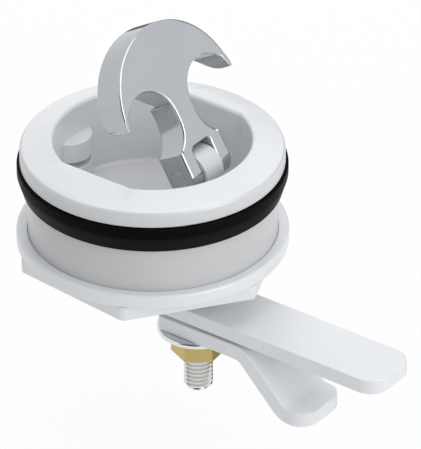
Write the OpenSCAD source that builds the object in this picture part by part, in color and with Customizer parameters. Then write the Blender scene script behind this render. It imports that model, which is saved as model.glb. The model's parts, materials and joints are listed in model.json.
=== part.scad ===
// Recessed turn handle: a round flush housing with a fold-down crescent handle.
// Lifting and turning the handle swings two latch arms below the panel.
// Z is up, X points along the latch arms, Y is the hinge pin's direction.
// The origin is on the housing's axis, in the top face of the ring nut's flange.

/* [Housing] */
// Outside diameter of the rim
rim_d = 72; // [70:0.5:78]
// Height of the rim's outer edge
rim_h = 4.9; // [4:0.1:6]
// Rounding of the rim's outer edge
rim_round = 1.4; // [0.8:0.1:1.8]
// Rise of the rim's top from its outer edge to the mouth of the recess
rim_rise = 2.2; // [1.6:0.1:2.6]
// Diameter of the smooth body that passes through the panel
body_d = 68.2; // [66:0.1:69]
// Height of the body between the ring nut and the gasket
body_h = 13; // [10:0.5:20]
// Diameter of the threaded neck below the body
neck_d = 58.8; // [57:0.1:60]
// Length of the threaded neck
neck_h = 8; // [7.5:0.1:9]

/* [Recess] */
// Diameter of the recess
recess_d = 53.8; // [53:0.1:54.4]
// Width between the two flats of the recess
recess_w = 48.6; // [48:0.1:49.4]
// Depth of the recess below the outer edge of the rim
recess_depth = 20.9; // [20.4:0.1:21.4]
// Thickness of the recess floor
floor_t = 3; // [2.5:0.1:3.5]
// Radius of the rounded mouth
mouth_r = 1; // [0.8:0.1:1.4]

/* [Rim gasket] */
// Height of the gasket
gasket_h = 7.6; // [5:0.1:8]
// How far the gasket stands out past the rim
gasket_proud = 0.8; // [0.4:0.1:1.2]
// Width of the gasket's seat under the rim
gasket_seat = 2.9; // [2.5:0.1:3.5]
// Height of the gasket's upright upper part
gasket_band = 3; // [2:0.1:4]
// How far the gasket's lower part draws in towards its foot
gasket_taper = 1.3; // [0.8:0.1:1.6]

/* [Ring nut] */
// Diameter of the nut's flange
flange_d = 74.3; // [73:0.1:78]
// Thickness of the flange
flange_t = 4.1; // [3:0.1:4.5]
// Width of the nut's hexagon across its flats
nut_af = 65; // [64:0.5:66]
// Height of the hexagon below the flange
nut_h = 4; // [3.5:0.1:5]
// Least wall between the neck's thread and the flats of the hexagon
nut_wall = 3; // [2.5:0.1:4]
// Rounding of the hexagon's corners
nut_corner = 2.2; // [1:0.1:3]

/* [Handle] */
// Thickness of the handle plate
handle_t = 9.2; // [8.8:0.1:10]
// Radius of the crescent's outer edge
crescent_r = 22.8; // [22:0.1:23.2]
// Radius of each finger cut-out
finger_r = 9.4; // [9:0.1:9.6]
// Width of the stem at its narrowest
stem_w = 7.2; // [7:0.1:8.5]
// Width across the two legs of the fork
fork_w = 17.2; // [16.8:0.1:17.6]
// Rounding of the legs' long edges
leg_round = 0.9; // [0.5:0.1:1.2]
// How far the plate's middle stands ahead of the hinge pin
plate_shift = 0.6; // [0.3:0.1:0.9]
// Rounding of the crescent's tips at the back of the plate
tip_round = 6; // [3:0.1:7]
// Lean of the raised handle from upright
handle_lean = 31; // [25:0.5:38]

/* [Spindle] */
// Distance of the spindle's axis from the nearest wall of the recess
spindle_wall = 11.5; // [11:0.1:12]
// Diameter of the spindle's shaft
shaft_d = 13; // [12.8:0.1:13.4]
// Width of the eye between the handle's legs
eye_w = 7.4; // [7:0.1:7.6]
// Diameter of the eye
eye_d = 12; // [11.5:0.1:12.4]
// Diameter of the hinge pin
pin_d = 5; // [4:0.1:5.5]
// Height of the hinge pin's axis below the outer edge of the rim
pin_drop = 2.1; // [1.9:0.1:2.9]

/* [Latch arms] */
// Width of both arms
arm_w = 18.2; // [16:0.1:20]
// Thickness of both arms
arm_t = 4.3; // [3.5:0.1:5]
// Reach of the straight upper arm from the spindle's axis
upper_reach = 65.8; // [50:0.1:90]
// Reach of the bent lower arm from the spindle's axis
lower_reach = 43; // [42:0.1:60]
// Distance of both arms' square tails behind the spindle's axis
arm_tail = 7.2; // [7:0.1:12]
// Drop of the lower arm's tip
lower_drop = 14; // [10:0.5:18]

/* [Stud and fasteners] */
// Diameter of the stud
stud_d = 8; // [7:0.1:8]
// Length of the stud that stands out below the nut
stud_free = 11.2; // [8:0.1:15]
// Diameter of the flat washer
washer_d = 22.6; // [18:0.1:26]
// Thickness of the flat washer
washer_t = 1.9; // [1.2:0.1:2.5]
// Width of the brass nut across its flats
small_nut_af = 13; // [12.5:0.1:14]
// Height of the brass nut
small_nut_h = 6.8; // [5:0.1:8]

/* [Clearances] */
// Radial clearance of the pin and of the shaft in their bores
running = 0.05; // [0.03:0.01:0.08]
// Gap at each side of the eye, and of the spindle along its axis
side_gap = 0.2; // [0.15:0.01:0.4]
// Gap of the folded handle above its rest
rest_gap = 0.5; // [0.3:0.05:0.8]
// Gap of the folded handle to the recess wall
fold_gap = 0.75; // [0.6:0.05:1.2]

/* [Hidden] */
$fn = 96;
eps = 0.01;
arc_steps = 6;

// Heights of the housing, from the ring nut's seat upward
gasket_z = body_h;
rim_z = gasket_z + gasket_h;
edge_z = rim_z + rim_h;
crown_z = edge_z + rim_rise;
floor_z = edge_z - recess_depth;
pin_z = edge_z - pin_drop;
rim_r = rim_d / 2;
body_r = body_d / 2;
neck_r = neck_d / 2;
recess_r = recess_d / 2;
spindle_offset = recess_r - spindle_wall;
groove_r = rim_r - gasket_seat;
mouth_d = recess_d + 2 * mouth_r;

// The nut's flange is bored out over the foot of the body
shoulder_depth = 2;
flange_gap = 0.35;
thread_gap = 0.1;
nut_turn = -5.6;
hex_af = max(nut_af, neck_d + 2 * (thread_gap + nut_wall));
neck_wall = 3;
edge_round = 0.8;
floor_round = 1.2;
gasket_lip = 0.5;

// Rest for the folded handle: a rounded lug on the wall away from the spindle
lug_r = 6.8;
lug_stand = 4.6;
lug_top = pin_z - handle_t / 2 + plate_shift - rest_gap;
lug_head = 6;
lug_notch_top = lug_top - lug_head;
lug_notch_h = 1.8;

// Bearing of the spindle, with ribs to the neck
bore_r = shaft_d / 2 + running;
boss_r = bore_r + 3.5;
boss_drop = 0.4;
boss_lip = 1.2;
boss_taper = 2.4;
rib_t = 2.4;
rib_angles = [90, 135, 180, 225, 270];

// Heights of the latch stack, from the upper arm downward
spacer_t = 1;
spacer_inset = 1.4;
arm_top = -16;
upper_bottom = arm_top - arm_t;
lower_top = upper_bottom - spacer_t;
lower_bottom = lower_top - arm_t;
washer_bottom = lower_bottom - washer_t;
nut_bottom = washer_bottom - small_nut_h;
stud_end = nut_bottom - stud_free;
stud_start = -8;
thread_depth = 0.4;
shank_r = stud_d / 2 - thread_depth;
clamp_turn = 37;
washer_gap = 0.2;
key_w = shaft_d - 2.4;
key_gap = 0.08;
key_short = 0.4;

// Shoulder of the spindle on its thrust washer
thrust_t = 1;
thrust_clear = 0.8;
thrust_r = spindle_wall - floor_round - thrust_clear;
collar_r = thrust_r - 0.4;
collar_t = 2.4;
seal_z = -3;
seal_w = 2;
seal_depth = 1.9;

// The crescent just fits the recess when it lies flat
fold_reach = spindle_offset + recess_r - fold_gap;
crescent_s = fold_reach - crescent_r;
finger_a = stem_w / 2 + finger_r;
finger_s = crescent_s - 1.3;
finger_drop = 2.3;
tip_s = crescent_s + 1;
fork_slot = eye_d / 2 + 1;
slot_round = 1.4;

// Bends of the lower arm
bend_start = 22;
bend_r = 3;
arm_corner = 5.5;
tail_corner = 1.2;

// Points of an arc about a centre
function arc(centre, r, from, to) =
    [for (i = [0 : arc_steps])
        let (t = from + (to - from) * i / arc_steps)
        centre + r * [cos(t), sin(t)]];

// Half of the recess in section, for a wall at distance w from the axis
function recess_half(w) = concat(
    arc([w - floor_round, floor_z + floor_round], floor_round, -90, 0),
    arc([w + mouth_r, crown_z - mouth_r], mouth_r, 180, 90),
    [[w + mouth_r, crown_z + 1]]
);

function mirrored(points) =
    [for (i = [len(points) - 1 : -1 : 0]) [-points[i][0], points[i][1]]];

// Places its children on the spindle's axis
module on_spindle() {
    translate([spindle_offset, 0, 0]) children();
}

// A plain ring from z downward
module ring(outer_r, inner_r, top, thickness) {
    translate([0, 0, top - thickness])
        difference() {
            cylinder(r = outer_r, h = thickness);
            translate([0, 0, -eps]) cylinder(r = inner_r, h = thickness + 2 * eps);
        }
}

// Solid housing before the recess is cut
module housing_blank() {
    rotate_extrude()
        polygon(concat(
            [[0, crown_z], [0, -shoulder_depth - neck_h]],
            [[neck_r - edge_round, -shoulder_depth - neck_h]],
            [[neck_r, -shoulder_depth - neck_h + edge_round]],
            [[neck_r, -shoulder_depth], [body_r, -shoulder_depth]],
            [[body_r, gasket_z], [groove_r, gasket_z]],
            [[groove_r, rim_z], [rim_r - edge_round / 2, rim_z]],
            [[rim_r, rim_z + edge_round / 2]],
            arc([rim_r - rim_round, edge_z - rim_round], rim_round, 0, 72),
            [[recess_r + mouth_r, crown_z]]
        ));
}

// Recess with two flats, a rounded mouth and a rounded floor edge
module recess_cut() {
    half = recess_half(recess_r);
    flat = recess_half(recess_w / 2);
    intersection() {
        rotate_extrude() polygon(concat([[0, floor_z]], half, [[0, crown_z + 1]]));
        rotate([90, 0, 90])
            linear_extrude(mouth_d + 2, center = true)
                polygon(concat(flat, mirrored(flat)));
    }
}

// Rounded lug on the recess wall, with a slot below its head
module rest_lug() {
    lug_x = recess_r - lug_stand + lug_r;
    intersection() {
        difference() {
            translate([-lug_x, 0, floor_z - eps]) cylinder(r = lug_r, h = lug_top - floor_z + eps);
            translate([-lug_x, -lug_r, lug_notch_top - lug_notch_h])
                cube([lug_r + lug_r, 2 * lug_r, lug_notch_h]);
        }
        cylinder(r = recess_r + 1, h = edge_z);
    }
}

// Underside: a hollow neck with the bearing boss and its ribs left standing
module underside_cut() {
    top = floor_z - floor_t;
    foot = -shoulder_depth - neck_h;
    difference() {
        translate([0, 0, foot - eps]) cylinder(r = neck_r - neck_wall, h = top - foot + eps);
        on_spindle() translate([0, 0, foot - 1]) cylinder(r = boss_r, h = top - foot + 2);
        on_spindle()
            for (a = rib_angles)
                rotate([0, 0, a])
                    translate([0, -rib_t / 2, foot + rib_t])
                        cube([neck_d, rib_t, top - foot]);
    }
}

module housing() {
    boss_end = arm_top + boss_drop;
    color("white")
        difference() {
            union() {
                difference() {
                    housing_blank();
                    recess_cut();
                    underside_cut();
                }
                rest_lug();
                on_spindle()
                    translate([0, 0, boss_end]) {
                        cylinder(r1 = bore_r + boss_lip, r2 = boss_r, h = boss_taper);
                        translate([0, 0, boss_taper - eps])
                            cylinder(r = boss_r, h = floor_z - boss_end - boss_taper);
                    }
            }
            on_spindle()
                translate([0, 0, boss_end - 1]) cylinder(r = bore_r, h = floor_z - boss_end + 2);
        }
}

// Upright upper part that meets the rim, and a lower part that draws in to the panel
module rim_gasket() {
    outer = rim_r + gasket_proud;
    foot = outer - gasket_taper;
    color("black")
        rotate_extrude()
            polygon(concat(
                [[groove_r, gasket_z]],
                arc([foot - gasket_lip, gasket_z + gasket_lip], gasket_lip, -90, 0),
                [[outer, rim_z - gasket_band]],
                arc([outer - gasket_lip, rim_z - gasket_lip], gasket_lip, 0, 90),
                [[groove_r, rim_z]]
            ));
}

// Hexagon with rounded corners
module nut_hexagon() {
    corner_at = (hex_af / 2 - nut_corner) / cos(30);
    rotate([0, 0, nut_turn]) {
        polygon([for (i = [0 : 5]) for (side = [-30, 30])
            corner_at * [cos(60 * i), sin(60 * i)]
                + nut_corner * [cos(60 * i + side), sin(60 * i + side)]]);
        for (i = [0 : 5])
            rotate([0, 0, 60 * i]) translate([corner_at, 0]) circle(r = nut_corner);
    }
}

module ring_nut() {
    flange_r = flange_d / 2;
    foot = -flange_t - nut_h;
    color("white")
        difference() {
            union() {
                rotate_extrude()
                    polygon(concat(
                        [[0, 0], [0, -flange_t]],
                        arc([flange_r - edge_round, edge_round - flange_t], edge_round, -90, 0),
                        arc([flange_r - edge_round, -edge_round], edge_round, 0, 90)
                    ));
                intersection() {
                    translate([0, 0, foot]) linear_extrude(nut_h + eps) nut_hexagon();
                    translate([0, 0, foot]) cylinder(r = flange_r, h = nut_h + eps);
                }
            }
            translate([0, 0, -shoulder_depth]) cylinder(r = body_r + flange_gap, h = shoulder_depth + 1);
            translate([0, 0, foot - 1]) cylinder(r = neck_r + thread_gap, h = -foot + 1);
        }
}

// Crescent plate in its own plane: x across the fork, y from the pin along the stem.
// Its two tips are rounded off at the back.
module crescent() {
    half_t = handle_t / 2;
    intersection() {
        translate([0, crescent_s]) cylinder(r = crescent_r, h = handle_t, center = true);
        rotate([90, 0, 90])
            linear_extrude(2 * crescent_r + 2, center = true)
                polygon(concat(
                    [[tip_s, half_t + 1]],
                    arc([tip_s + tip_round, tip_round - half_t], tip_round, 180, 270),
                    [[tip_s + crescent_r, -half_t], [tip_s + crescent_r, half_t + 1]]
                ));
    }
}

// Legs and stem as one bar with rounded edges, and its round foot about the pin
module leg_bar() {
    half_w = fork_w / 2;
    half_t = handle_t / 2;
    flat_w = half_w - leg_round;
    flat_t = half_t - leg_round;
    rotate([-90, 0, 0])
        linear_extrude(tip_s + eps)
            polygon(concat(
                arc([flat_w, flat_t], leg_round, 0, 90), arc([-flat_w, flat_t], leg_round, 90, 180),
                arc([-flat_w, -flat_t], leg_round, 180, 270), arc([flat_w, -flat_t], leg_round, 270, 360)
            ));
    rotate([0, 90, 0])
        rotate_extrude()
            polygon(concat(
                [[0, half_w], [0, -half_w]],
                arc([flat_t, -flat_w], leg_round, -90, 0), arc([flat_t, flat_w], leg_round, 0, 90)
            ));
}

// One finger cut-out, drawn out a little towards the fork
module finger_cut() {
    circle(r = finger_r);
    translate([-finger_r, -finger_drop]) square([2 * finger_r, finger_drop]);
    translate([0, -finger_drop]) circle(r = finger_r);
}

// Slot of the fork, with rounded inner corners
module fork_cut() {
    half = eye_w / 2 + side_gap;
    linear_extrude(2 * handle_t, center = true)
        union() {
            translate([-half, -handle_t]) square([2 * half, handle_t + fork_slot - slot_round]);
            translate([slot_round - half, 0]) square([2 * (half - slot_round), fork_slot]);
            for (side = [-1, 1])
                translate([side * (half - slot_round), fork_slot - slot_round]) circle(r = slot_round);
        }
}

// Turns the handle's plane to its raised place above the hinge pin
module at_hinge() {
    on_spindle()
        translate([0, 0, pin_z])
            rotate([0, -handle_lean, 0])
                rotate([90, 0, 90])
                    children();
}

module handle() {
    color("silver")
        at_hinge()
            difference() {
                translate([0, 0, plate_shift])
                    difference() {
                        union() {
                            crescent();
                            leg_bar();
                        }
                        for (side = [-1, 1])
                            translate([side * finger_a, finger_s, 0])
                                linear_extrude(handle_t + 2, center = true) finger_cut();
                    }
                fork_cut();
                rotate([0, 90, 0]) cylinder(d = pin_d, h = fork_w + 2, center = true);
            }
}

module hinge_pin() {
    color("lightgray")
        at_hinge() rotate([0, 90, 0]) cylinder(d = pin_d, h = fork_w, center = true);
}

// Keyed section of the shaft that the arms sit on
module key_outline(gap) {
    intersection() {
        circle(r = shaft_d / 2 + gap);
        square([shaft_d + 2, key_w + 2 * gap], center = true);
    }
}

// Cuts the two flats of the key, from the upper arm downward
module key_flats(key_end) {
    for (turn = [0, 180])
        rotate([0, 0, turn])
            translate([-shaft_d, key_w / 2, key_end - 1])
                cube([2 * shaft_d, shaft_d, arm_top - key_end + 1]);
}

module spindle() {
    head_top = pin_z - handle_t / 2 - plate_shift - 2 * side_gap;
    key_end = lower_bottom + key_short;
    tongue_w = eye_d - 1.5;
    color("whitesmoke")
        on_spindle()
            difference() {
                union() {
                    translate([0, 0, pin_z])
                        rotate([90, 0, 0]) cylinder(d = eye_d, h = eye_w, center = true);
                    translate([-tongue_w / 2, -eye_w / 2, head_top - 1])
                        cube([tongue_w, eye_w, pin_z - head_top + 1]);
                    translate([0, 0, key_end]) cylinder(d = shaft_d, h = head_top - key_end);
                    translate([0, 0, floor_z + thrust_t]) cylinder(r = collar_r, h = collar_t);
                }
                translate([0, 0, pin_z])
                    rotate([90, 0, 0]) cylinder(r = pin_d / 2 + running, h = eye_w + 2, center = true);
                key_flats(key_end);
                translate([0, 0, key_end - 1]) cylinder(r = shank_r, h = stud_start - key_end + 1);
                ring(shaft_d, shaft_d / 2 - seal_depth, seal_z, seal_w);
            }
}

module spindle_seal() {
    outer = shaft_d / 2 + running - 0.02;
    inner = shaft_d / 2 - seal_depth;
    middle = (outer + inner) / 2;
    color("dimgray")
        on_spindle()
            translate([0, 0, seal_z - seal_w / 2])
                rotate_extrude() translate([middle, 0]) circle(r = (outer - inner) / 2, $fn = 32);
}

module thrust_washer() {
    color("gainsboro") on_spindle() ring(thrust_r, bore_r, floor_z + thrust_t, thrust_t);
}

// The shank and the thread inside the nut share one cylinder with what they screw into,
// and the free thread below the nut is drawn at its outside
module stud() {
    end_chamfer = 1;
    r = stud_d / 2;
    color("gainsboro")
        on_spindle()
            rotate_extrude()
                polygon([
                    [0, stud_start], [0, stud_end], [r - end_chamfer, stud_end],
                    [r, stud_end + end_chamfer], [r, nut_bottom],
                    [shank_r, nut_bottom], [shank_r, stud_start]
                ]);
}

// Plan of an arm: a square tail behind the spindle, and well rounded corners at its tip
module arm_plan(reach) {
    half = arm_w / 2;
    difference() {
        union() {
            translate([tail_corner - arm_tail, -half])
                square([reach - arm_corner + arm_tail - tail_corner, arm_w]);
            translate([-arm_tail, tail_corner - half]) square([arm_tail, arm_w - 2 * tail_corner]);
            translate([0, arm_corner - half]) square([reach, arm_w - 2 * arm_corner]);
            for (side = [-1, 1]) {
                translate([reach - arm_corner, side * (half - arm_corner)]) circle(r = arm_corner);
                translate([tail_corner - arm_tail, side * (half - tail_corner)]) circle(r = tail_corner);
            }
        }
        key_outline(key_gap);
    }
}

module upper_arm() {
    color("white")
        on_spindle() translate([0, 0, upper_bottom]) linear_extrude(arm_t) arm_plan(upper_reach);
}

module spacer_washer() {
    color("gainsboro")
        on_spindle() ring(arm_w / 2 - spacer_inset, shaft_d / 2 + key_gap, upper_bottom, spacer_t);
}

// Side of the lower arm: two equal bends that step it down at 45 degrees
module lower_side() {
    outer = bend_r + arm_t;
    tan_in = bend_r * tan(22.5);
    tan_out = outer * tan(22.5);
    shift = arm_t * tan(22.5);
    end = bend_start + lower_drop;
    polygon(concat(
        [[-arm_tail - 1, 0]],
        arc([bend_start - tan_out, -outer], outer, 90, 45),
        arc([end + tan_in, bend_r - lower_drop], bend_r, 225, 270),
        [[lower_reach + 1, -lower_drop], [lower_reach + 1, -lower_drop - arm_t]],
        arc([end - shift + tan_out, outer - lower_drop - arm_t], outer, 270, 225),
        arc([bend_start - shift - tan_in, -bend_r - arm_t], bend_r, 45, 90),
        [[-arm_tail - 1, -arm_t]]
    ));
}

module lower_arm() {
    drop = lower_drop + arm_t;
    color("white")
        on_spindle()
            translate([0, 0, lower_top])
                intersection() {
                    rotate([90, 0, 0]) linear_extrude(arm_w + 2, center = true) lower_side();
                    translate([0, 0, -drop - 1]) linear_extrude(drop + 2) arm_plan(lower_reach);
                }
}

module flat_washer() {
    color("gainsboro")
        on_spindle() ring(washer_d / 2, stud_d / 2 + washer_gap, lower_bottom, washer_t);
}

module clamp_nut() {
    corner_r = small_nut_af / cos(30) / 2;
    bevel = (corner_r - small_nut_af / 2) * tan(30);
    color("goldenrod")
        on_spindle()
            translate([0, 0, nut_bottom])
                difference() {
                    intersection() {
                        rotate([0, 0, clamp_turn]) cylinder(r = corner_r, h = small_nut_h, $fn = 6);
                        rotate_extrude()
                            polygon([
                                [0, 0], [small_nut_af / 2, 0], [corner_r, bevel],
                                [corner_r, small_nut_h - bevel], [small_nut_af / 2, small_nut_h],
                                [0, small_nut_h]
                            ]);
                    }
                    translate([0, 0, -1]) cylinder(r = shank_r, h = small_nut_h + 2);
                }
}

housing();
rim_gasket();
ring_nut();
handle();
hinge_pin();
spindle();
spindle_seal();
thrust_washer();
stud();
upper_arm();
spacer_washer();
lower_arm();
flat_washer();
clamp_nut();
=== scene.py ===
import json
import math

import bmesh
import bpy
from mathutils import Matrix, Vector


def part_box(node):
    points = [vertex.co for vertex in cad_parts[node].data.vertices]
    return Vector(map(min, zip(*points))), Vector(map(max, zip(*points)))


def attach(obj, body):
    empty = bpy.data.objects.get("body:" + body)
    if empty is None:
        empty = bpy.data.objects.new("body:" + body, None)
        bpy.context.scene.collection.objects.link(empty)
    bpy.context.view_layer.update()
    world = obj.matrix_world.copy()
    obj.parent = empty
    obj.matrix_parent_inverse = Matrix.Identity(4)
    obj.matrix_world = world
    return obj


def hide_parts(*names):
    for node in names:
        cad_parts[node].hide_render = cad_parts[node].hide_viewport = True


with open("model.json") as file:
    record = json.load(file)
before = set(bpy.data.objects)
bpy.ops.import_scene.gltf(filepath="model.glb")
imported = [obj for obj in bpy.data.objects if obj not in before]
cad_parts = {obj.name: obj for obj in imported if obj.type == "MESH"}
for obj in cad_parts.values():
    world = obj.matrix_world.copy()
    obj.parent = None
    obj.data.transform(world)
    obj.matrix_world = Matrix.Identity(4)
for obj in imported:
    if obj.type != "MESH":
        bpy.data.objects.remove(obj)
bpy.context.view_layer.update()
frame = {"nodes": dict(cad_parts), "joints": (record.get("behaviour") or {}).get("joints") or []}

# Lengths are in metres, and MM turns millimetres into them
MM = 0.001

# The photograph: its size in pixels, the real size of a pixel, and the rim's centre in it
PHOTO_W = 421
PHOTO_H = 449
PIXEL = 0.27 * MM
RIM_PIXEL = (152.5, 147.0)

# The camera
VIEW_AZIMUTH = math.radians(36.87)
VIEW_ELEVATION = math.radians(31.3)
CAMERA_DISTANCE = 1.8
CAMERA_END = 20.0
SENSOR = 36.0

# Places that come from the frame
SPINDLE_X = frame["joints"][0]["pos_m"][0]
HINGE = Vector(frame["joints"][1]["pos_m"])
STUD_LOW, STUD_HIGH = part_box("stud")
NUT_LOW, NUT_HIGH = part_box("clamp_nut")
GASKET_LOW, GASKET_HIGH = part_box("rim_gasket")
RIM_EDGE_Z = GASKET_HIGH[2] + 4.0 * MM

# The stud's thread. Each step of its profile goes out by a share of the thread's depth, and along
# by a share of the pitch.
STUD_PITCH = 1.25 * MM
STUD_CREST = 4.0 * MM
STUD_ROOT = 3.35 * MM
STUD_CHAMFER = 0.9 * MM
THREAD_STEPS = 48
THREAD_PROFILE = ((0.0, 0.12), (1.0, 0.32), (0.0, 0.12), (-1.0, 0.32), (0.0, 0.12))
THREAD_MERGE = 0.001 * MM
THREAD_CUT = 0.0001 * MM
THREAD_SMOOTH = 40.0

# The brass nut
NUT_SIDES = 6
NUT_BORE = 3.9 * MM
BORE_SIDES = 64
NUT_LONG_EDGE = 3.0 * MM

# The slot between the body's foot and the ring nut's flange: the most it takes in the solids, and
# what is left of it
SEAT_SLOT = 1.0 * MM
SEAT_CLOSED = 0.05 * MM

# Widths of the fillets
RECESS_FILLET = 0.4 * MM
RING_FILLET = 0.3 * MM
GASKET_FILLET = 0.2 * MM
PLATE_FILLET = 0.6 * MM
PIN_FILLET = 0.15 * MM
EYE_FILLET = 0.3 * MM
ARM_FILLET = 0.3 * MM
WASHER_FILLET = 0.8 * MM
NUT_FILLET = 0.12 * MM

# Limits that pick the edges to be rounded
RECESS_REACH = 27.5 * MM
RECESS_LOW = 5.0 * MM
RING_REACH = 30.4 * MM
EYE_LOW = 18.6 * MM
BROAD_FACE = 100.0 * MM * MM
SAME_FACING = 0.999
TIP_ALONG = 22.3 * MM
TIP_ASIDE = 20.5 * MM

# Cleaning of a copied solid: corners this close are one, and faces this even are one
SAME_CORNER = 0.002 * MM
EVEN_ANGLE = math.radians(0.2)

# Zones of painted light and shade: the housing's sides and recess are painted darker than its top
# as painted shade, and the gasket's foot, below its crease, is painted lighter and has a faint
# reflecting coat
BODY_TOP = GASKET_LOW[2]
BODY_REACH = 30.0 * MM
RIM_SIDE_LOW = GASKET_HIGH[2]
RIM_SIDE_TOP = RIM_SIDE_LOW + 4.6 * MM
GASKET_CREASE = BODY_TOP + 4.6 * MM

# Shares and strengths in the materials
NOISE_LOW = 0.3
NOISE_HIGH = 0.7
FLOW_SHARE = 0.06
HAZE_SCALE = 90.0
LINE_STRETCH = (1.0, 1.0, 0.04)
RELIEF_STRENGTH = 0.5
EDGE_SAMPLES = 8

# The stage
FLOOR_Z = -70.0 * MM
FLOOR_SIZE = 6.0
FLOOR_TONE = (0.86, 0.86, 0.86, 1.0)
FLOOR_ROUGHNESS = 0.9
FLOOR_GLOW_SHARE = 0.93
WORLD_FILL = 0.56
WORLD_TONE = (0.96, 0.98, 1.0, 1.0)
WHITE = (1.0, 1.0, 1.0, 1.0)
BLACK = (0.0, 0.0, 0.0, 1.0)


# Small helpers for modelling

def select_only(piece):
    bpy.ops.object.select_all(action="DESELECT")
    piece.select_set(True)
    bpy.context.view_layer.objects.active = piece


def apply_modifier(piece, modifier):
    select_only(piece)
    bpy.ops.object.modifier_apply(modifier=modifier.name)


def smooth(piece, degrees=35.0):
    select_only(piece)
    bpy.ops.object.shade_smooth_by_angle(angle=math.radians(degrees))


def copy_of(node, name):
    """A clean copy of a CAD node: doubles merged and flat faces joined, ready to be shaped."""
    mesh = frame["nodes"][node].data.copy()
    mesh.name = name
    mesh.materials.clear()
    piece = bpy.data.objects.new(name, mesh)
    bpy.context.scene.collection.objects.link(piece)
    select_only(piece)
    bpy.ops.object.mode_set(mode="EDIT")
    bpy.ops.mesh.select_all(action="SELECT")
    bpy.ops.mesh.remove_doubles(threshold=SAME_CORNER)
    bpy.ops.mesh.dissolve_limited(angle_limit=EVEN_ANGLE)
    bpy.ops.object.mode_set(mode="OBJECT")
    return piece


def even_shading(piece):
    """Lets the broad faces set the shading, so that the fillets read as narrow edges."""
    weigh = piece.modifiers.new("even shading", "WEIGHTED_NORMAL")
    weigh.mode = "FACE_AREA"
    weigh.keep_sharp = True
    apply_modifier(piece, weigh)


def round_edges(piece, width, segments=3, sharper_than=32.0):
    """Fillets every edge that is sharper than the given angle."""
    bevel = piece.modifiers.new("edge fillet", "BEVEL")
    bevel.limit_method = "ANGLE"
    bevel.angle_limit = math.radians(sharper_than)
    bevel.width = width
    bevel.segments = segments
    bevel.use_clamp_overlap = True
    bevel.miter_outer = "MITER_ARC"
    apply_modifier(piece, bevel)
    smooth(piece)
    even_shading(piece)


def fillet(piece, width, segments, pick, sharper_than=32.0):
    """Fillets the outward edges that are sharper than the given angle and that pick() takes."""
    select_only(piece)
    bpy.ops.object.mode_set(mode="EDIT")
    bpy.ops.mesh.select_mode(type="EDGE")
    bpy.ops.mesh.select_all(action="DESELECT")
    shape = bmesh.from_edit_mesh(piece.data)
    for edge in shape.edges:
        outward = edge.is_manifold and edge.is_convex
        if outward and edge.calc_face_angle() > math.radians(sharper_than) and pick(edge):
            edge.select_set(True)
    bmesh.update_edit_mesh(piece.data)
    bpy.ops.mesh.bevel(offset=width, segments=segments, affect="EDGES", clamp_overlap=False)
    bpy.ops.object.mode_set(mode="OBJECT")
    smooth(piece)
    even_shading(piece)


def middle(edge):
    return (edge.verts[0].co + edge.verts[1].co) / 2.0


def settle(piece, node, body, material):
    """Puts a finished piece in a CAD node's place, on its body."""
    piece.data.materials.clear()
    piece.data.materials.append(material)
    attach(piece, body)
    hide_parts(node)


# Materials

def new_material(name):
    material = bpy.data.materials.new(name)
    material.use_nodes = True
    return material, material.node_tree.nodes["Principled BSDF"]


def surface_group(name, outputs):
    """An empty shader group with a Vector, a Scale and an Amount, and the named outputs."""
    group = bpy.data.node_groups.new(name, "ShaderNodeTree")
    group.interface.new_socket("Vector", in_out="INPUT", socket_type="NodeSocketVector")
    group.interface.new_socket("Scale", in_out="INPUT", socket_type="NodeSocketFloat")
    group.interface.new_socket("Amount", in_out="INPUT", socket_type="NodeSocketFloat")
    for output in outputs:
        group.interface.new_socket(output, in_out="OUTPUT", socket_type="NodeSocketFloat")
    return group, group.nodes.new("NodeGroupInput"), group.nodes.new("NodeGroupOutput")


def moulding_group():
    """Slow flow marks and a fine skin, as on a moulded surface."""
    group, entry, leave = surface_group("moulded skin", ("Flow", "Skin"))
    links = group.links
    flow = group.nodes.new("ShaderNodeTexNoise")
    flow.inputs["Detail"].default_value = 3.0
    links.new(entry.outputs["Vector"], flow.inputs["Vector"])
    slow = group.nodes.new("ShaderNodeMath")
    slow.operation = "MULTIPLY"
    slow.inputs[1].default_value = FLOW_SHARE
    links.new(entry.outputs["Scale"], slow.inputs[0])
    links.new(slow.outputs[0], flow.inputs["Scale"])
    links.new(flow.outputs["Fac"], leave.inputs["Flow"])
    skin = group.nodes.new("ShaderNodeTexNoise")
    skin.inputs["Detail"].default_value = 6.0
    links.new(entry.outputs["Vector"], skin.inputs["Vector"])
    links.new(entry.outputs["Scale"], skin.inputs["Scale"])
    strength = group.nodes.new("ShaderNodeMath")
    strength.operation = "MULTIPLY"
    links.new(skin.outputs["Fac"], strength.inputs[0])
    links.new(entry.outputs["Amount"], strength.inputs[1])
    links.new(strength.outputs[0], leave.inputs["Skin"])
    return group


def polish_group():
    """Fine parallel polishing lines and faint haze, for metal."""
    group, entry, leave = surface_group("polishing lines", ("Haze", "Lines"))
    links = group.links
    haze = group.nodes.new("ShaderNodeTexNoise")
    haze.inputs["Detail"].default_value = 4.0
    haze.inputs["Scale"].default_value = HAZE_SCALE
    links.new(entry.outputs["Vector"], haze.inputs["Vector"])
    links.new(haze.outputs["Fac"], leave.inputs["Haze"])
    stretch = group.nodes.new("ShaderNodeMapping")
    stretch.inputs["Scale"].default_value = LINE_STRETCH
    links.new(entry.outputs["Vector"], stretch.inputs["Vector"])
    lines = group.nodes.new("ShaderNodeTexNoise")
    lines.inputs["Detail"].default_value = 2.0
    links.new(stretch.outputs["Vector"], lines.inputs["Vector"])
    links.new(entry.outputs["Scale"], lines.inputs["Scale"])
    strength = group.nodes.new("ShaderNodeMath")
    strength.operation = "MULTIPLY"
    links.new(lines.outputs["Fac"], strength.inputs[0])
    links.new(entry.outputs["Amount"], strength.inputs[1])
    links.new(strength.outputs[0], leave.inputs["Lines"])
    return group


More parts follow.
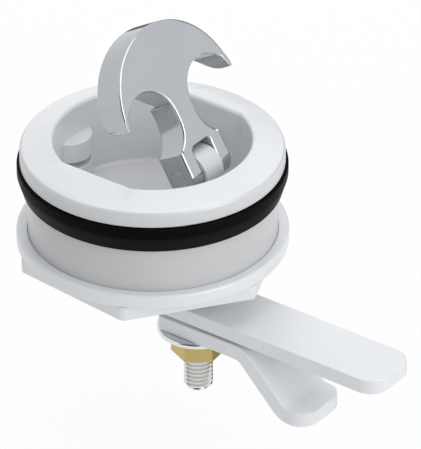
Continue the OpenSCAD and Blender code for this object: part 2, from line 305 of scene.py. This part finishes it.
def zone_group():
    """A mask by height: one up to Low, fading to Weak at High, and nothing above Top.

    It is put out twice, for what lies outside the Reach from the axis and for what lies inside.
    """
    group = bpy.data.node_groups.new("height zone", "ShaderNodeTree")
    group.interface.new_socket("Vector", in_out="INPUT", socket_type="NodeSocketVector")
    for limit in ("Top", "Low", "High", "Weak", "Reach"):
        group.interface.new_socket(limit, in_out="INPUT", socket_type="NodeSocketFloat")
    for side in ("Outside", "Inside"):
        group.interface.new_socket(side, in_out="OUTPUT", socket_type="NodeSocketFloat")
    nodes, links = group.nodes, group.links
    entry, leave = nodes.new("NodeGroupInput"), nodes.new("NodeGroupOutput")
    split = nodes.new("ShaderNodeSeparateXYZ")
    links.new(entry.outputs["Vector"], split.inputs["Vector"])
    below = nodes.new("ShaderNodeMath")
    below.operation = "LESS_THAN"
    links.new(split.outputs["Z"], below.inputs[0])
    links.new(entry.outputs["Top"], below.inputs[1])
    fade = nodes.new("ShaderNodeMapRange")
    fade.inputs["To Min"].default_value = 1.0
    links.new(split.outputs["Z"], fade.inputs["Value"])
    links.new(entry.outputs["Low"], fade.inputs["From Min"])
    links.new(entry.outputs["High"], fade.inputs["From Max"])
    links.new(entry.outputs["Weak"], fade.inputs["To Max"])
    zone = nodes.new("ShaderNodeMath")
    zone.operation = "MULTIPLY"
    links.new(below.outputs[0], zone.inputs[0])
    links.new(fade.outputs["Result"], zone.inputs[1])
    plan = nodes.new("ShaderNodeVectorMath")
    plan.operation = "MULTIPLY"
    plan.inputs[1].default_value = (1.0, 1.0, 0.0)
    links.new(entry.outputs["Vector"], plan.inputs[0])
    reach = nodes.new("ShaderNodeVectorMath")
    reach.operation = "LENGTH"
    links.new(plan.outputs["Vector"], reach.inputs[0])
    for side, operation in (("Outside", "GREATER_THAN"), ("Inside", "LESS_THAN")):
        beyond = nodes.new("ShaderNodeMath")
        beyond.operation = operation
        links.new(reach.outputs["Value"], beyond.inputs[0])
        links.new(entry.outputs["Reach"], beyond.inputs[1])
        both = nodes.new("ShaderNodeMath")
        both.operation = "MULTIPLY"
        links.new(zone.outputs[0], both.inputs[0])
        links.new(beyond.outputs[0], both.inputs[1])
        links.new(both.outputs[0], leave.inputs[side])
    return group


MOULDING = moulding_group()
POLISH = polish_group()
ZONE = zone_group()


def place_group(material, group, scale, amount):
    nodes = material.node_tree.nodes
    coords = nodes.new("ShaderNodeTexCoord")
    effect = nodes.new("ShaderNodeGroup")
    effect.node_tree = group
    effect.inputs["Scale"].default_value = scale
    effect.inputs["Amount"].default_value = amount
    material.node_tree.links.new(coords.outputs["Object"], effect.inputs["Vector"])
    return effect


def vary(material, source, target, low, high):
    """Feeds a socket with values between low and high, driven by a mask."""
    nodes, links = material.node_tree.nodes, material.node_tree.links
    if isinstance(low, float):
        spread = nodes.new("ShaderNodeMapRange")
        spread.inputs["From Min"].default_value = NOISE_LOW
        spread.inputs["From Max"].default_value = NOISE_HIGH
        spread.inputs["To Min"].default_value = low
        spread.inputs["To Max"].default_value = high
        links.new(source, spread.inputs["Value"])
        links.new(spread.outputs["Result"], target)
    else:
        ramp = nodes.new("ShaderNodeValToRGB")
        ramp.color_ramp.elements[0].position = NOISE_LOW
        ramp.color_ramp.elements[1].position = NOISE_HIGH
        ramp.color_ramp.elements[0].color = (*low, 1.0)
        ramp.color_ramp.elements[1].color = (*high, 1.0)
        links.new(source, ramp.inputs["Fac"])
        links.new(ramp.outputs["Color"], target)


def bump(material, height, shader, depth, edge=0.0):
    """Fine relief. Where an edge radius is given, edges are rounded in the shading too."""
    nodes, links = material.node_tree.nodes, material.node_tree.links
    relief = nodes.new("ShaderNodeBump")
    if edge > 0.0:
        rounded = nodes.new("ShaderNodeBevel")
        rounded.samples = EDGE_SAMPLES
        rounded.inputs["Radius"].default_value = edge
        links.new(rounded.outputs["Normal"], relief.inputs["Normal"])
    relief.inputs["Distance"].default_value = depth
    relief.inputs["Strength"].default_value = RELIEF_STRENGTH
    links.new(height, relief.inputs["Height"])
    links.new(relief.outputs["Normal"], shader.inputs["Normal"])


def moulded(name, dark, light, rough, skin_scale, skin_depth, specular):
    """A moulded plastic or rubber: two near tones, uneven gloss and a fine skin."""
    material, shader = new_material(name)
    effect = place_group(material, MOULDING, skin_scale, 1.0)
    vary(material, effect.outputs["Flow"], shader.inputs["Base Color"], dark, light)
    vary(material, effect.outputs["Skin"], shader.inputs["Roughness"], rough[0], rough[1])
    bump(material, effect.outputs["Skin"], shader, skin_depth)
    shader.inputs["Specular IOR Level"].default_value = specular
    return material


def polished(name, dark, light, rough, line_scale, line_depth, metallic=1.0, edge=0.0):
    """A bare or plated metal with fine lines."""
    material, shader = new_material(name)
    shader.inputs["Metallic"].default_value = metallic
    effect = place_group(material, POLISH, line_scale, 1.0)
    vary(material, effect.outputs["Haze"], shader.inputs["Base Color"], dark, light)
    vary(material, effect.outputs["Haze"], shader.inputs["Roughness"], rough[0], rough[1])
    bump(material, effect.outputs["Lines"], shader, line_depth, edge)
    return material


def zone_mask(material, side, top, low, high, weak, reach):
    nodes = material.node_tree.nodes
    coords = nodes.new("ShaderNodeTexCoord")
    zone = nodes.new("ShaderNodeGroup")
    zone.node_tree = ZONE
    limits = {"Top": top, "Low": low, "High": high, "Weak": weak, "Reach": reach}
    for limit, value in limits.items():
        zone.inputs[limit].default_value = value
    material.node_tree.links.new(coords.outputs["Object"], zone.inputs["Vector"])
    return zone.outputs[side]


def tint(material, mask, colour):
    """Multiplies the base colour by another one where the mask is one."""
    nodes, links = material.node_tree.nodes, material.node_tree.links
    shader = nodes["Principled BSDF"]
    base = shader.inputs["Base Color"].links[0].from_socket
    mix = nodes.new("ShaderNodeMix")
    mix.data_type = "RGBA"
    mix.blend_type = "MULTIPLY"
    links.new(mask, mix.inputs["Factor"])
    links.new(base, mix.inputs["A"])
    mix.inputs["B"].default_value = (*colour, 1.0)
    links.new(mix.outputs["Result"], shader.inputs["Base Color"])


def sheen(material, mask, strength, rough):
    """Gives a surface a faint skin that reflects, where the mask is one."""
    nodes, links = material.node_tree.nodes, material.node_tree.links
    shader = nodes["Principled BSDF"]
    weight = nodes.new("ShaderNodeMath")
    weight.operation = "MULTIPLY"
    weight.inputs[1].default_value = strength
    links.new(mask, weight.inputs[0])
    links.new(weight.outputs[0], shader.inputs["Coat Weight"])
    shader.inputs["Coat Roughness"].default_value = rough


# White plastics. The skin is the same on all of them: its gloss, scale, depth and reflection.
WHITE_TONES = ((0.80, 0.81, 0.825), (0.825, 0.835, 0.85))
SPINDLE_TONES = ((0.674, 0.683, 0.695), (0.695, 0.704, 0.717))
PLASTIC_SKIN = ((0.28, 0.32), 900.0, 0.003 * MM, 0.5)
WHITE_PLASTIC = moulded("white moulded plastic", *WHITE_TONES, *PLASTIC_SKIN)
SPINDLE_PLASTIC = moulded("white spindle plastic", *SPINDLE_TONES, *PLASTIC_SKIN)
HOUSING_PLASTIC = moulded("white housing plastic", *WHITE_TONES, *PLASTIC_SKIN)
# Painted shade: the housing's body under the gasket, and more weakly the rim's sides, are painted
# darker
HOUSING_SIDE_SHADE = zone_mask(
    HOUSING_PLASTIC, "Outside", top=RIM_SIDE_TOP, low=BODY_TOP, high=RIM_SIDE_LOW, weak=0.6,
    reach=BODY_REACH)
tint(HOUSING_PLASTIC, HOUSING_SIDE_SHADE, (0.72, 0.715, 0.71))
# Painted shade: the recess is painted darker towards its floor, fading out towards its mouth
RECESS_SHADE = zone_mask(
    HOUSING_PLASTIC, "Inside", top=RIM_SIDE_TOP, low=RECESS_LOW, high=RIM_SIDE_TOP, weak=0.0,
    reach=BODY_REACH)
tint(HOUSING_PLASTIC, RECESS_SHADE, (0.925, 0.92, 0.915))

# Rubber
BLACK_RUBBER = moulded(
    "black rubber", (0.0022, 0.0022, 0.0022), (0.0038, 0.0038, 0.0040), (0.42, 0.52),
    skin_scale=1400.0, skin_depth=0.02 * MM, specular=0.03)
# Painted light: the gasket's foot, below its crease, is painted lighter; the faint coat on it is a
# real reflecting layer
GASKET_FOOT_LIGHT_AND_COAT = zone_mask(
    BLACK_RUBBER, "Outside", top=GASKET_CREASE, low=BODY_TOP, high=GASKET_CREASE, weak=1.0,
    reach=BODY_REACH)
tint(BLACK_RUBBER, GASKET_FOOT_LIGHT_AND_COAT, (1.2, 1.2, 1.2))
sheen(BLACK_RUBBER, GASKET_FOOT_LIGHT_AND_COAT, strength=0.09, rough=0.45)

# Metals
PLATED = polished(
    "plated handle", (0.455, 0.475, 0.50), (0.475, 0.495, 0.52), (0.07, 0.11),
    line_scale=700.0, line_depth=0.0006 * MM, metallic=0.8, edge=0.35 * MM)
STEEL = polished(
    "bright steel", (0.72, 0.73, 0.75), (0.78, 0.79, 0.80), (0.16, 0.24),
    line_scale=1500.0, line_depth=0.001 * MM)
PIN_STEEL = polished(
    "hinge pin steel", (0.52, 0.53, 0.55), (0.55, 0.56, 0.58), (0.12, 0.18),
    line_scale=1500.0, line_depth=0.0006 * MM)
STUD_STEEL = polished(
    "stud steel", (0.66, 0.67, 0.69), (0.72, 0.73, 0.74), (0.13, 0.19),
    line_scale=1500.0, line_depth=0.0006 * MM)
BRASS = polished(
    "turned brass", (0.47, 0.36, 0.135), (0.53, 0.41, 0.165), (0.18, 0.26),
    line_scale=1800.0, line_depth=0.0010 * MM)


# Pieces of the housing

def make_housing():
    piece = copy_of("housing", "housing_body")

    def in_recess(edge):
        spot = middle(edge)
        return math.hypot(spot.x, spot.y) < RECESS_REACH and spot.z > RECESS_LOW

    fillet(piece, RECESS_FILLET, 3, in_recess)
    settle(piece, "housing", "housing", HOUSING_PLASTIC)


def make_ring_nut():
    piece = copy_of("ring_nut", "ring_nut_body")

    def outside(edge):
        spot = middle(edge)
        return math.hypot(spot.x, spot.y) > RING_REACH

    body = max(
        math.hypot(corner.co.x, corner.co.y)
        for corner in frame["nodes"]["housing"].data.vertices if corner.co.z < 0.0)
    for corner in piece.data.vertices:
        reach = math.hypot(corner.co.x, corner.co.y)
        if body < reach < body + SEAT_SLOT:
            corner.co.x *= (body + SEAT_CLOSED) / reach
            corner.co.y *= (body + SEAT_CLOSED) / reach
    fillet(piece, RING_FILLET, 3, outside)
    settle(piece, "ring_nut", "housing", WHITE_PLASTIC)


def make_gasket():
    piece = copy_of("rim_gasket", "rim_gasket_ring")
    round_edges(piece, GASKET_FILLET, sharper_than=30.0)
    settle(piece, "rim_gasket", "housing", BLACK_RUBBER)


# Pieces of the handle

def make_handle():
    """The plate's front and back outlines are filleted, except round the sharp tips."""
    piece = copy_of("handle", "handle_plate")
    broad = max(piece.data.polygons, key=lambda face: face.area).normal.copy()
    along = broad.cross(Vector((0.0, 1.0, 0.0)))

    def on_outline(edge):
        flat = any(
            abs(face.normal.dot(broad)) > SAME_FACING and face.calc_area() > BROAD_FACE
            for face in edge.link_faces)
        low = min((corner.co - HINGE).dot(along) for corner in edge.verts) < TIP_ALONG
        return flat and not (low and abs(middle(edge).y) > TIP_ASIDE)

    fillet(piece, PLATE_FILLET, 5, on_outline, sharper_than=60.0)
    settle(piece, "handle", "handle", PLATED)


def make_hinge_pin():
    piece = copy_of("hinge_pin", "hinge_pin_ends")
    round_edges(piece, PIN_FILLET)
    settle(piece, "hinge_pin", "handle", PIN_STEEL)


# Pieces on the spindle

def make_spindle():
    piece = copy_of("spindle", "spindle_eye")
    fillet(piece, EYE_FILLET, 3, lambda edge: middle(edge).z > EYE_LOW)
    settle(piece, "spindle", "spindle", SPINDLE_PLASTIC)


def make_arms():
    for node in ("upper_arm", "lower_arm"):
        piece = copy_of(node, node + "_plate")
        round_edges(piece, ARM_FILLET)
        settle(piece, node, "spindle", WHITE_PLASTIC)


def threaded_rod(name, centre_x, low, high, crest, root, pitch):
    """A closed length of screw thread about a vertical axis, by a turned profile."""
    bpy.ops.object.select_all(action="DESELECT")
    bpy.ops.mesh.primitive_plane_add(size=pitch, location=(0.0, 0.0, 0.0))
    piece = bpy.context.object
    piece.name = name
    piece.data.name = name
    bpy.ops.object.mode_set(mode="EDIT")
    bpy.ops.mesh.select_mode(type="VERT")
    bpy.ops.mesh.select_all(action="SELECT")
    bpy.ops.mesh.merge(type="CENTER")
    bpy.ops.transform.translate(value=(root, 0.0, low - 2.0 * pitch))
    for out, along in THREAD_PROFILE:
        bpy.ops.mesh.extrude_region_move(
            TRANSFORM_OT_translate={"value": (out * (crest - root), 0.0, along * pitch)})
    bpy.ops.object.mode_set(mode="OBJECT")
    screw = piece.modifiers.new("thread", "SCREW")
    screw.angle = 2.0 * math.pi
    screw.screw_offset = pitch
    screw.iterations = math.ceil((high - low) / pitch) + 4
    screw.steps = THREAD_STEPS
    screw.render_steps = THREAD_STEPS
    screw.use_merge_vertices = True
    screw.merge_threshold = THREAD_MERGE
    screw.use_normal_calculate = True
    apply_modifier(piece, screw)
    bpy.ops.object.mode_set(mode="EDIT")
    for height, normal in ((low, (0.0, 0.0, -1.0)), (high, (0.0, 0.0, 1.0))):
        bpy.ops.mesh.select_all(action="SELECT")
        bpy.ops.mesh.bisect(
            plane_co=(0.0, 0.0, height), plane_no=normal, use_fill=True, clear_outer=True,
            threshold=THREAD_CUT)
    bpy.ops.mesh.select_all(action="SELECT")
    bpy.ops.mesh.remove_doubles(threshold=THREAD_MERGE)
    bpy.ops.mesh.normals_make_consistent(inside=False)
    bpy.ops.transform.translate(value=(centre_x, 0.0, 0.0))
    bpy.ops.object.mode_set(mode="OBJECT")
    return piece


def make_stud():
    """The thread, with its lower end drawn in to a chamfer."""
    piece = threaded_rod(
        "stud_thread", SPINDLE_X, STUD_LOW[2], STUD_HIGH[2], STUD_CREST, STUD_ROOT, STUD_PITCH)
    for corner in piece.data.vertices:
        depth = STUD_LOW[2] + STUD_CHAMFER - corner.co.z
        reach = math.hypot(corner.co.x - SPINDLE_X, corner.co.y)
        limit = STUD_CREST - max(depth, 0.0)
        if depth > 0.0 and reach > limit:
            corner.co.x = SPINDLE_X + (corner.co.x - SPINDLE_X) * limit / reach
            corner.co.y = corner.co.y * limit / reach
    smooth(piece, THREAD_SMOOTH)
    settle(piece, "stud", "spindle", STUD_STEEL)


def make_flat_washer():
    washer = copy_of("flat_washer", "flat_washer_turned")
    round_edges(washer, WASHER_FILLET)
    settle(washer, "flat_washer", "spindle", STEEL)


def make_clamp_nut():
    """A plain hexagon nut with sharp ends, as wide and as turned as the CAD one, with a bore."""
    corners = [corner.co for corner in frame["nodes"]["clamp_nut"].data.vertices]
    widest = max(corners, key=lambda spot: math.hypot(spot.x - SPINDLE_X, spot.y))
    reach = math.hypot(widest.x - SPINDLE_X, widest.y)
    turn = math.atan2(widest.y, widest.x - SPINDLE_X)
    centre = (SPINDLE_X, 0.0, (NUT_LOW[2] + NUT_HIGH[2]) / 2.0)
    height = NUT_HIGH[2] - NUT_LOW[2]
    bpy.ops.object.select_all(action="DESELECT")
    bpy.ops.mesh.primitive_cylinder_add(
        vertices=NUT_SIDES, radius=reach, depth=height, location=centre,
        rotation=(0.0, 0.0, turn - math.pi / 2.0))
    nut = bpy.context.object
    nut.name = "clamp_nut_turned"
    nut.data.name = "clamp_nut_turned"
    bpy.ops.object.transform_apply(location=True, rotation=True, scale=True)
    bpy.ops.object.select_all(action="DESELECT")
    bpy.ops.mesh.primitive_cylinder_add(
        vertices=BORE_SIDES, radius=NUT_BORE, depth=2.0 * height, location=centre)
    drill = bpy.context.object
    cut = nut.modifiers.new("bore", "BOOLEAN")
    cut.operation = "DIFFERENCE"
    cut.solver = "EXACT"
    cut.object = drill
    apply_modifier(nut, cut)
    bpy.data.objects.remove(drill)
    fillet(nut, NUT_FILLET, 3, lambda edge: edge.calc_length() > NUT_LONG_EDGE)
    settle(nut, "clamp_nut", "spindle", BRASS)


def finish_hidden_nodes():
    """The CAD solids that stay as they are get their materials."""
    hidden = {"spindle_seal": BLACK_RUBBER, "thrust_washer": STEEL, "spacer_washer": STEEL}
    for node, material in hidden.items():
        mesh = frame["nodes"][node].data
        mesh.materials.clear()
        mesh.materials.append(material)


# Stage, light and camera

def seen_mask(nodes, links, rays):
    """One for the named kinds of ray, and nothing for light that falls on the object."""
    path = nodes.new("ShaderNodeLightPath")
    mask = path.outputs[rays[0]]
    for ray in rays[1:]:
        either = nodes.new("ShaderNodeMath")
        either.operation = "MAXIMUM"
        links.new(mask, either.inputs[0])
        links.new(path.outputs[ray], either.inputs[1])
        mask = either.outputs[0]
    return mask


def studio_world():
    """White where it is seen, and a weaker fill where it lights the object."""
    world = bpy.data.worlds.new("studio")
    bpy.context.scene.world = world
    world.use_nodes = True
    nodes, links = world.node_tree.nodes, world.node_tree.links
    nodes.clear()
    seen = seen_mask(nodes, links, ("Is Camera Ray", "Is Glossy Ray", "Is Transmission Ray"))
    fill = nodes.new("ShaderNodeBackground")
    fill.inputs["Color"].default_value = WORLD_TONE
    fill.inputs["Strength"].default_value = WORLD_FILL
    white = nodes.new("ShaderNodeBackground")
    white.inputs["Color"].default_value = WHITE
    white.inputs["Strength"].default_value = 1.0
    mix = nodes.new("ShaderNodeMixShader")
    leave = nodes.new("ShaderNodeOutputWorld")
    links.new(seen, mix.inputs["Fac"])
    links.new(fill.outputs["Background"], mix.inputs[1])
    links.new(white.outputs["Background"], mix.inputs[2])
    links.new(mix.outputs["Shader"], leave.inputs["Surface"])


def pale_floor():
    """A floor that glows nearly white where it is seen, and still takes the object's shadow."""
    bpy.ops.object.select_all(action="DESELECT")
    bpy.ops.mesh.primitive_plane_add(size=FLOOR_SIZE, location=(0.0, 0.0, FLOOR_Z))
    floor = bpy.context.object
    floor.name = "floor"
    material, shader = new_material("pale floor")
    nodes, links = material.node_tree.nodes, material.node_tree.links
    shader.inputs["Base Color"].default_value = FLOOR_TONE
    shader.inputs["Roughness"].default_value = FLOOR_ROUGHNESS
    shader.inputs["Specular IOR Level"].default_value = 0.0
    seen = seen_mask(nodes, links, ("Is Camera Ray", "Is Glossy Ray"))
    share = nodes.new("ShaderNodeMath")
    share.operation = "MULTIPLY"
    share.inputs[1].default_value = FLOOR_GLOW_SHARE
    links.new(seen, share.inputs[0])
    glow = nodes.new("ShaderNodeEmission")
    glow.inputs["Strength"].default_value = 1.0
    mix = nodes.new("ShaderNodeMixShader")
    links.new(share.outputs[0], mix.inputs["Fac"])
    links.new(shader.outputs["BSDF"], mix.inputs[1])
    links.new(glow.outputs["Emission"], mix.inputs[2])
    links.new(mix.outputs["Shader"], nodes["Material Output"].inputs["Surface"])
    floor.data.materials.append(material)


def softbox(name, place, aim, size, power, mirrored=True):
    """A round area light. One that isn't mirrored lights surfaces without showing in the gloss."""
    lamp = bpy.data.lights.new(name, "AREA")
    lamp.shape = "DISK"
    lamp.size = size
    lamp.energy = power
    holder = bpy.data.objects.new(name, lamp)
    bpy.context.scene.collection.objects.link(holder)
    holder.location = place
    holder.rotation_euler = (Vector(aim) - Vector(place)).to_track_quat("-Z", "Y").to_euler()
    holder.visible_glossy = mirrored


def card(name, place, aim, width, height, glow):
    """A studio card that only shows in glossy reflections: dark, or bright where it glows."""
    turn = (Vector(aim) - Vector(place)).to_track_quat("Z", "Y").to_euler()
    bpy.ops.object.select_all(action="DESELECT")
    bpy.ops.mesh.primitive_plane_add(size=1.0, location=place, rotation=turn)
    sheet = bpy.context.object
    sheet.name = name
    sheet.scale = (width, height, 1.0)
    material, shader = new_material(name)
    shader.inputs["Base Color"].default_value = BLACK
    shader.inputs["Specular IOR Level"].default_value = 0.0
    shader.inputs["Emission Color"].default_value = WHITE
    shader.inputs["Emission Strength"].default_value = glow
    sheet.data.materials.append(material)
    sheet.visible_camera = False
    sheet.visible_diffuse = False
    sheet.visible_transmission = False
    sheet.visible_shadow = False


def studio_lights():
    softbox("overhead", place=(0.05, 0.02, 0.75), aim=(0.0, 0.0, 0.0), size=0.7, power=1.9)
    softbox("side fill", place=(0.7, -0.1, 0.35), aim=(0.0, 0.0, 0.0), size=0.5, power=1.3)
    softbox("low fill", place=(0.6, 0.05, -0.01), aim=(0.03, 0.0, -0.02), size=0.3, power=0.35)
    softbox(
        "back fill", place=(-0.42, 0.56, 0.28), aim=(0.0, 0.0, 0.01), size=0.4, power=1.7,
        mirrored=False)


def studio_cards():
    card(
        "dark wall behind", place=(-0.03, 0.60, 0.11), aim=(-0.03, 0.0, 0.11),
        width=0.75, height=0.36, glow=0.02)
    card(
        "dark floor behind", place=(-0.25, 0.28, -0.066), aim=(-0.25, 0.28, 1.0),
        width=0.35, height=0.35, glow=0.1)
    card(
        "dark card in front", place=(0.134, -0.50, 0.23), aim=(0.0, 0.0, 0.04),
        width=0.55, height=0.50, glow=0.02)
    # Painted shadow: a grey sheet on the floor behind the stud, seen only in reflections, stands
    # in for the object's shadow there
    card(
        "floor shadow card", place=(0.05, 0.075, -0.067), aim=(0.05, 0.075, 1.0),
        width=0.07, height=0.07, glow=0.45)
    card(
        "bright strip", place=(0.62, 0.05, 0.37), aim=(0.0, 0.0, 0.04),
        width=0.25, height=0.65, glow=5.0)


def photo_camera():
    """A long lens at the photograph's angle, so that the view is nearly parallel."""
    right = Vector((math.cos(VIEW_AZIMUTH), math.sin(VIEW_AZIMUTH), 0.0))
    back = Vector((
        math.sin(VIEW_AZIMUTH) * math.cos(VIEW_ELEVATION),
        -math.cos(VIEW_AZIMUTH) * math.cos(VIEW_ELEVATION),
        math.sin(VIEW_ELEVATION)))
    up = back.cross(right)
    rim_centre = Vector((0.0, 0.0, RIM_EDGE_Z))
    across = right * (PHOTO_W / 2 - RIM_PIXEL[0]) * PIXEL
    down = up * (PHOTO_H / 2 - RIM_PIXEL[1]) * PIXEL
    camera = bpy.data.cameras.new("photo camera")
    camera.sensor_width = SENSOR
    camera.sensor_height = SENSOR
    camera.lens = CAMERA_DISTANCE / (PIXEL * PHOTO_H) * SENSOR
    camera.clip_end = CAMERA_END
    holder = bpy.data.objects.new("photo camera", camera)
    bpy.context.scene.collection.objects.link(holder)
    holder.location = rim_centre + across - down + back * CAMERA_DISTANCE
    holder.rotation_euler = back.to_track_quat("Z", "Y").to_euler()
    bpy.context.scene.camera = holder


make_housing()
make_ring_nut()
make_gasket()
make_handle()
make_hinge_pin()
make_spindle()
make_arms()
make_stud()
make_flat_washer()
make_clamp_nut()
finish_hidden_nodes()

studio_world()
pale_floor()
studio_lights()
studio_cards()
photo_camera()
bpy.context.scene.view_settings.view_transform = "Standard"
